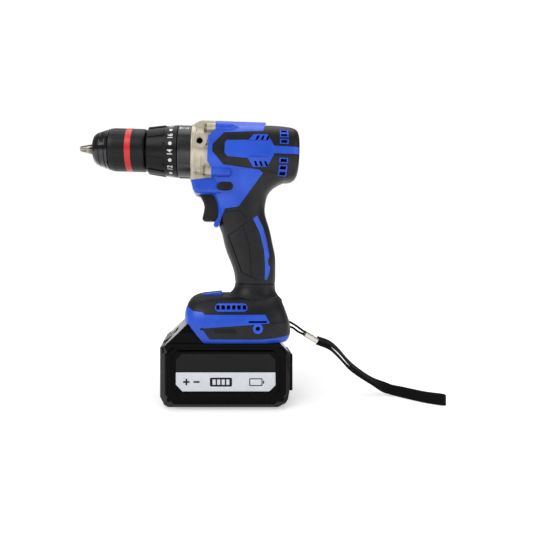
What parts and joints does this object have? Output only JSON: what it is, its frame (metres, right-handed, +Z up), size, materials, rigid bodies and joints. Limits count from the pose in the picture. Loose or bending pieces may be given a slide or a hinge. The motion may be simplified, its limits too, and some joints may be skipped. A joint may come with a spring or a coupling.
{
  "type": "cordless drill",
  "caption": "Pistol-grip cordless hammer drill standing on its slide-on battery pack, with a keyless chuck, torque collar, trigger and wrist strap.",
  "frame": {"origin": "centre of the drill's length and width, on the flat underside of the battery", "axes": "+X from the chuck to the rear of the motor, +Y to the operator's right, +Z up"},
  "size_m": [0.3213, 0.075, 0.249],
  "materials": {
    "blue_shell": "satin moulded plastic",
    "black_overmould": "matte soft grip",
    "cast_case": "satin champagne paint on a light alloy casting",
    "black_steel": "black oxide",
    "black_plastic": "fine texture",
    "red_band": "gloss",
    "chuck_black": "polished black oxide",
    "bright_steel": "machined",
    "cell_can": null,
    "copper": "enamelled copper",
    "circuit_board": "coated board",
    "blue_gloss": "gloss",
    "lamp_glass": "clear",
    "grey_button": "matte",
    "woven_cord": "woven, matte"
  },
  "bodies": {
    "housing": {"clutch_ring_gear": "bright_steel", "clutch_spring": "bright_steel", "control_board": "circuit_board", "foot_bumpers": "black_overmould", "gear_case": "cast_case", "gear_case_screws": "black_steel", "lamp_bezel": "blue_gloss", "lamp_lens": "lamp_glass", "left_foot_overmould": "black_overmould", "left_grip_overmould": "black_overmould", "left_shell": "blue_shell", "motor_plate": "bright_steel", "motor_stator": "bright_steel", "motor_windings": "copper", "right_foot_overmould": "black_overmould", "right_grip_overmould": "black_overmould", "right_shell": "blue_shell", "shaft_bearings": "bright_steel", "shell_screws": "black_steel", "strap_cord": "woven_cord", "strap_ferrule": "bright_steel", "strap_pin": "black_steel", "strap_webbing": "woven_cord", "terminal_block": "black_plastic", "trigger_spring": "bright_steel", "trigger_switch": "black_plastic"},
    "spindle": {"spindle": "bright_steel", "chuck_body": "chuck_black", "chuck_rear_cover": "chuck_black", "chuck_screw": "black_steel"},
    "chuck_sleeve": {"chuck_sleeve": "black_plastic", "chuck_sleeve_band": "red_band", "chuck_jaw_nut": "black_steel"},
    "chuck_jaw_1": {"chuck_jaw_1": "bright_steel"},
    "chuck_jaw_2": {"chuck_jaw_2": "bright_steel"},
    "chuck_jaw_3": {"chuck_jaw_3": "bright_steel"},
    "input_carrier": {"input_carrier": "bright_steel"},
    "output_planet_1": {"output_planet_1": "bright_steel"},
    "output_planet_2": {"output_planet_2": "bright_steel"},
    "output_planet_3": {"output_planet_3": "bright_steel"},
    "input_planet_1": {"input_planet_1": "bright_steel"},
    "input_planet_2": {"input_planet_2": "bright_steel"},
    "input_planet_3": {"input_planet_3": "bright_steel"},
    "motor_rotor": {"motor_rotor": "bright_steel", "motor_pinion": "bright_steel", "motor_fan": "black_plastic"},
    "torque_collar": {"torque_collar": "black_plastic"},
    "mode_ring": {"mode_ring": "black_plastic"},
    "speed_selector": {"speed_selector": "black_plastic", "sliding_ring_gear": "bright_steel"},
    "trigger": {"trigger": "black_plastic"},
    "direction_button": {"direction_button": "black_plastic"},
    "battery": {"battery_lower_case": "black_plastic", "battery_upper_case": "black_plastic", "battery_gauge_panel": "black_plastic", "battery_cells": "cell_can", "battery_board": "circuit_board"},
    "battery_release_button": {"battery_release_button": "black_plastic"},
    "battery_gauge_button": {"battery_gauge_button": "grey_button"}
  },
  "joints": [
    {"name": "motor_spin", "type": "hinge", "parent": "housing", "child": "motor_rotor", "pos_m": [0.00176, 0, 0.22215], "axis": [0.9996, 0, -0.0297], "continuous": true},
    {"name": "chuck_spin", "type": "hinge", "parent": "housing", "child": "spindle", "pos_m": [0.00176, 0, 0.22215], "axis": [0.9996, 0, -0.0297], "continuous": true},
    {"name": "sleeve_turn", "type": "hinge", "parent": "spindle", "child": "chuck_sleeve", "pos_m": [0.00176, 0, 0.22215], "axis": [0.9996, 0, -0.0297], "range_deg": [-3960, 0]},
    {"name": "jaw_slide_1", "type": "slide", "parent": "spindle", "child": "chuck_jaw_1", "axis": [0.9797, -0.1125, 0.1658], "range_m": [0, 0.0178]},
    {"name": "jaw_slide_2", "type": "slide", "parent": "spindle", "child": "chuck_jaw_2", "axis": [0.9682, -0.1125, -0.2236], "range_m": [0, 0.0178]},
    {"name": "jaw_slide_3", "type": "slide", "parent": "spindle", "child": "chuck_jaw_3", "axis": [0.9739, 0.225, -0.0289], "range_m": [0, 0.0178]},
    {"name": "output_planet_spin_1", "type": "hinge", "parent": "spindle", "child": "output_planet_1", "pos_m": [0.00209, 0, 0.23339], "axis": [0.9996, 0, -0.0297], "continuous": true},
    {"name": "output_planet_spin_2", "type": "hinge", "parent": "spindle", "child": "output_planet_2", "pos_m": [0.00159, -0.00974, 0.21653], "axis": [0.9996, 0, -0.0297], "continuous": true},
    {"name": "output_planet_spin_3", "type": "hinge", "parent": "spindle", "child": "output_planet_3", "pos_m": [0.00159, 0.00974, 0.21653], "axis": [0.9996, 0, -0.0297], "continuous": true},
    {"name": "input_carrier_spin", "type": "hinge", "parent": "housing", "child": "input_carrier", "pos_m": [0.00176, 0, 0.22215], "axis": [0.9996, 0, -0.0297], "continuous": true},
    {"name": "input_planet_spin_1", "type": "hinge", "parent": "input_carrier", "child": "input_planet_1", "pos_m": [0.00209, 0, 0.23339], "axis": [0.9996, 0, -0.0297], "continuous": true},
    {"name": "input_planet_spin_2", "type": "hinge", "parent": "input_carrier", "child": "input_planet_2", "pos_m": [0.00159, -0.00974, 0.21653], "axis": [0.9996, 0, -0.0297], "continuous": true},
    {"name": "input_planet_spin_3", "type": "hinge", "parent": "input_carrier", "child": "input_planet_3", "pos_m": [0.00159, 0.00974, 0.21653], "axis": [0.9996, 0, -0.0297], "continuous": true},
    {"name": "torque_collar_turn", "type": "hinge", "parent": "housing", "child": "torque_collar", "pos_m": [0.00176, 0, 0.22215], "axis": [0.9996, 0, -0.0297], "range_deg": [-324, 18]},
    {"name": "mode_ring_turn", "type": "hinge", "parent": "housing", "child": "mode_ring", "pos_m": [0.00176, 0, 0.22215], "axis": [0.9996, 0, -0.0297], "range_deg": [-30, 30]},
    {"name": "speed_selector_slide", "type": "slide", "parent": "housing", "child": "speed_selector", "axis": [0.9996, 0, -0.0297], "range_m": [0, 0.0046]},
    {"name": "trigger_pull", "type": "slide", "parent": "housing", "child": "trigger", "axis": [1, 0, 0], "range_m": [0, 0.006], "stiffness_N_per_m": 1200, "springref_m": -0.002},
    {"name": "direction_button_slide", "type": "slide", "parent": "housing", "child": "direction_button", "axis": [0, 1, 0], "range_m": [-0.003, 0.003]},
    {"name": "battery_slide", "type": "slide", "parent": "housing", "child": "battery", "axis": [-1, 0, 0], "range_m": [0, 0.09]},
    {"name": "battery_release_press", "type": "slide", "parent": "battery", "child": "battery_release_button", "axis": [1, 0, 0], "range_m": [0, 0.003], "stiffness_N_per_m": 1500, "springref_m": -0.001},
    {"name": "battery_gauge_press", "type": "slide", "parent": "battery", "child": "battery_gauge_button", "axis": [-1, 0, 0], "range_m": [0, 0.0008], "stiffness_N_per_m": 2500, "springref_m": -0.0002}
  ],
  "couplings": [
    {"joint": "chuck_spin", "follows": "motor_spin", "ratio": 0.0625},
    {"joint": "jaw_slide_1", "follows": "sleeve_turn", "m_per_rad": -0.00025754},
    {"joint": "jaw_slide_2", "follows": "sleeve_turn", "m_per_rad": -0.00025754},
    {"joint": "jaw_slide_3", "follows": "sleeve_turn", "m_per_rad": -0.00025754},
    {"joint": "output_planet_spin_1", "follows": "motor_spin", "ratio": -0.1875},
    {"joint": "output_planet_spin_2", "follows": "motor_spin", "ratio": -0.1875},
    {"joint": "output_planet_spin_3", "follows": "motor_spin", "ratio": -0.1875},
    {"joint": "input_carrier_spin", "follows": "motor_spin", "ratio": 0.25},
    {"joint": "input_planet_spin_1", "follows": "motor_spin", "ratio": -0.75},
    {"joint": "input_planet_spin_2", "follows": "motor_spin", "ratio": -0.75},
    {"joint": "input_planet_spin_3", "follows": "motor_spin", "ratio": -0.75}
  ]
}
